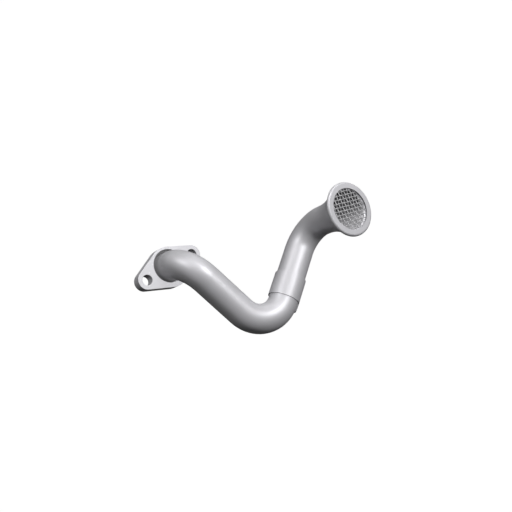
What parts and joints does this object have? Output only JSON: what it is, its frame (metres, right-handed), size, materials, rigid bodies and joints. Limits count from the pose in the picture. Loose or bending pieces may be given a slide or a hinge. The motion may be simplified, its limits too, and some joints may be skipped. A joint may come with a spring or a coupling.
{
  "type": "oil pickup screen",
  "caption": "Bent metal oil pickup tube with a bolted flange at one end, a sleeve joint, and a flared mouth closed by a woven wire screen under a ring.",
  "frame": {"origin": "centre of the tube's bore on the flange's mounting face, which is also the middle of the bolt pattern", "axes": "+Z is the flange's normal, away from the mounting face towards the tube; +X runs along the line through the bolt holes; the tube leaves towards -Y and then +X"},
  "size_m": [0.1355, 0.0853, 0.0869],
  "materials": {
    "flange_steel": "satin",
    "tube_steel": "satin",
    "screen_steel": "bright drawn wire"
  },
  "bodies": {
    "root": {"flange": "flange_steel", "lower_tube": "tube_steel", "joint_sleeve": "tube_steel", "upper_tube": "tube_steel", "screen": "screen_steel", "screen_ring": "tube_steel"}
  },
  "joints": []
}
